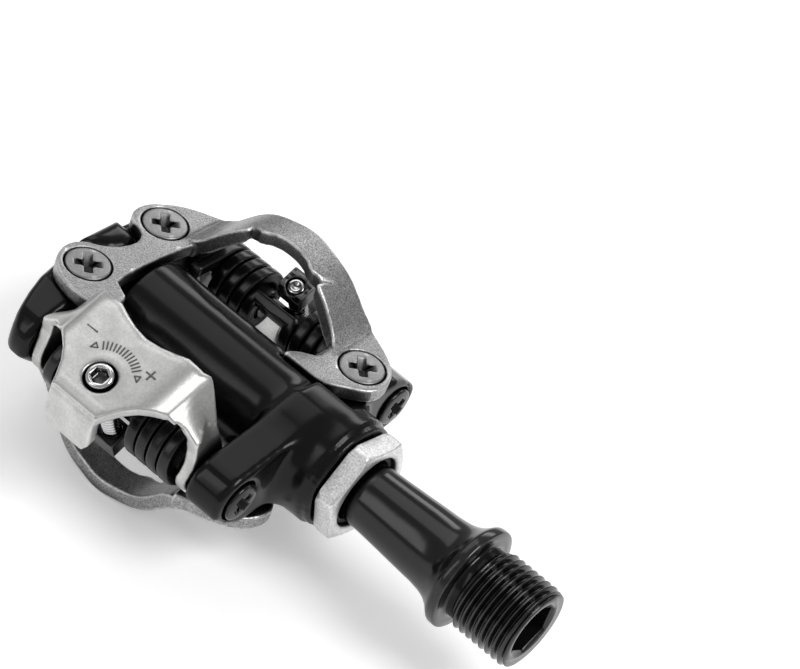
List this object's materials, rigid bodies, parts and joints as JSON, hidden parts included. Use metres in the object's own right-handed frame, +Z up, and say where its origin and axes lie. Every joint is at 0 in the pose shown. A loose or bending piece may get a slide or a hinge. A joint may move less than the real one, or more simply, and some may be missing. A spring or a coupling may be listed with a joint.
{
  "type": "clipless bicycle pedal",
  "caption": "Two-sided clipless pedal: a black body turning on a threaded axle, with a raised steel cleat hook and a sprung tension claw on each face.",
  "frame": {"origin": "on the axle's axis, at the face of its flange that seats on the crank", "axes": "+X along the axle towards the crank, +Y forward, +Z up out of the top face; the other face is the same, turned half a turn about X"},
  "size_m": [0.0942, 0.0668, 0.0356],
  "materials": {
    "black_steel": "gloss black coated steel",
    "black_paint": "semi-gloss black paint on cast metal",
    "sleeve_aluminium": "satin turned aluminium",
    "seal_rubber": "matt black",
    "bush_plastic": "matt",
    "bearing_steel": "polished",
    "blasted_steel": "bead-blasted, mid grey",
    "satin_steel": "satin plated, bright grey",
    "bolt_chrome": "bright plated"
  },
  "bodies": {
    "axle": {"axle": "black_steel", "bearing_cone": "black_steel", "cone_washer": "bearing_steel", "cone_lock_nut": "black_steel"},
    "body": {"axle_lock_sleeve": "sleeve_aluminium", "ball_inner_01": "bearing_steel", "ball_inner_02": "bearing_steel", "ball_inner_03": "bearing_steel", "ball_inner_04": "bearing_steel", "ball_inner_05": "bearing_steel", "ball_inner_06": "bearing_steel", "ball_inner_07": "bearing_steel", "ball_inner_08": "bearing_steel", "ball_inner_09": "bearing_steel", "ball_inner_10": "bearing_steel", "ball_inner_11": "bearing_steel", "ball_inner_12": "bearing_steel", "ball_outer_01": "bearing_steel", "ball_outer_02": "bearing_steel", "ball_outer_03": "bearing_steel", "ball_outer_04": "bearing_steel", "ball_outer_05": "bearing_steel", "ball_outer_06": "bearing_steel", "ball_outer_07": "bearing_steel", "ball_outer_08": "bearing_steel", "ball_outer_09": "bearing_steel", "ball_outer_10": "bearing_steel", "ball_outer_11": "bearing_steel", "ball_outer_12": "bearing_steel", "bearing_tube": "bearing_steel", "dust_seal": "seal_rubber", "front_binding_bottom": "blasted_steel", "front_binding_top": "blasted_steel", "pedal_body": "black_paint", "pivot_pin_bottom": "black_steel", "pivot_pin_top": "black_steel", "plain_bush": "bush_plastic", "screw_inner_front_bottom": "blasted_steel", "screw_inner_front_top": "blasted_steel", "screw_outer_front_bottom": "blasted_steel", "screw_outer_front_top": "blasted_steel", "screw_outer_rear_bottom": "blasted_steel", "screw_outer_rear_top": "blasted_steel", "spacer_inner_bottom": "black_steel", "spacer_inner_top": "black_steel", "spacer_outer_bottom": "black_steel", "spacer_outer_top": "black_steel", "torsion_spring_bottom": "black_steel", "torsion_spring_top": "black_steel"},
    "claw_top": {"rear_claw_top": "satin_steel"},
    "claw_bottom": {"rear_claw_bottom": "satin_steel"},
    "bolt_top": {"tension_bolt_top": "bolt_chrome"},
    "bolt_bottom": {"tension_bolt_bottom": "bolt_chrome"},
    "nut_top": {"tension_nut_top": "black_steel"},
    "nut_bottom": {"tension_nut_bottom": "black_steel"}
  },
  "joints": [
    {"name": "pedal_spin", "type": "hinge", "parent": "axle", "child": "body", "pos_m": [0, 0, 0], "axis": [1, 0, 0], "continuous": true},
    {"name": "claw_top_swing", "type": "hinge", "parent": "body", "child": "claw_top", "pos_m": [-0.056, -0.0182, -0.0004], "axis": [1, 0, 0], "range_deg": [0, 18], "stiffness_Nm_per_rad": 2.2, "springref_deg": -20.05},
    {"name": "claw_bottom_swing", "type": "hinge", "parent": "body", "child": "claw_bottom", "pos_m": [-0.056, 0.0182, 0.0004], "axis": [1, 0, 0], "range_deg": [0, 18], "stiffness_Nm_per_rad": 2.2, "springref_deg": -20.05},
    {"name": "tension_bolt_top_turn", "type": "hinge", "parent": "claw_top", "child": "bolt_top", "pos_m": [-0.056, -0.02815, 0.01126], "axis": [0, 0.4587, -0.8886], "range_deg": [-451, 60]},
    {"name": "tension_nut_top_slide", "type": "slide", "parent": "claw_top", "child": "nut_top", "axis": [0, -0.4587, 0.8886], "range_m": [-0.001, 0.00013]},
    {"name": "tension_bolt_bottom_turn", "type": "hinge", "parent": "claw_bottom", "child": "bolt_bottom", "pos_m": [-0.056, 0.02815, -0.01126], "axis": [0, -0.4587, 0.8886], "range_deg": [-451, 60]},
    {"name": "tension_nut_bottom_slide", "type": "slide", "parent": "claw_bottom", "child": "nut_bottom", "axis": [0, 0.4587, -0.8886], "range_m": [-0.001, 0.00013]}
  ],
  "couplings": [
    {"joint": "tension_bolt_top_turn", "follows": "tension_nut_top_slide", "rad_per_m": 7854},
    {"joint": "tension_bolt_bottom_turn", "follows": "tension_nut_bottom_slide", "rad_per_m": 7854}
  ]
}
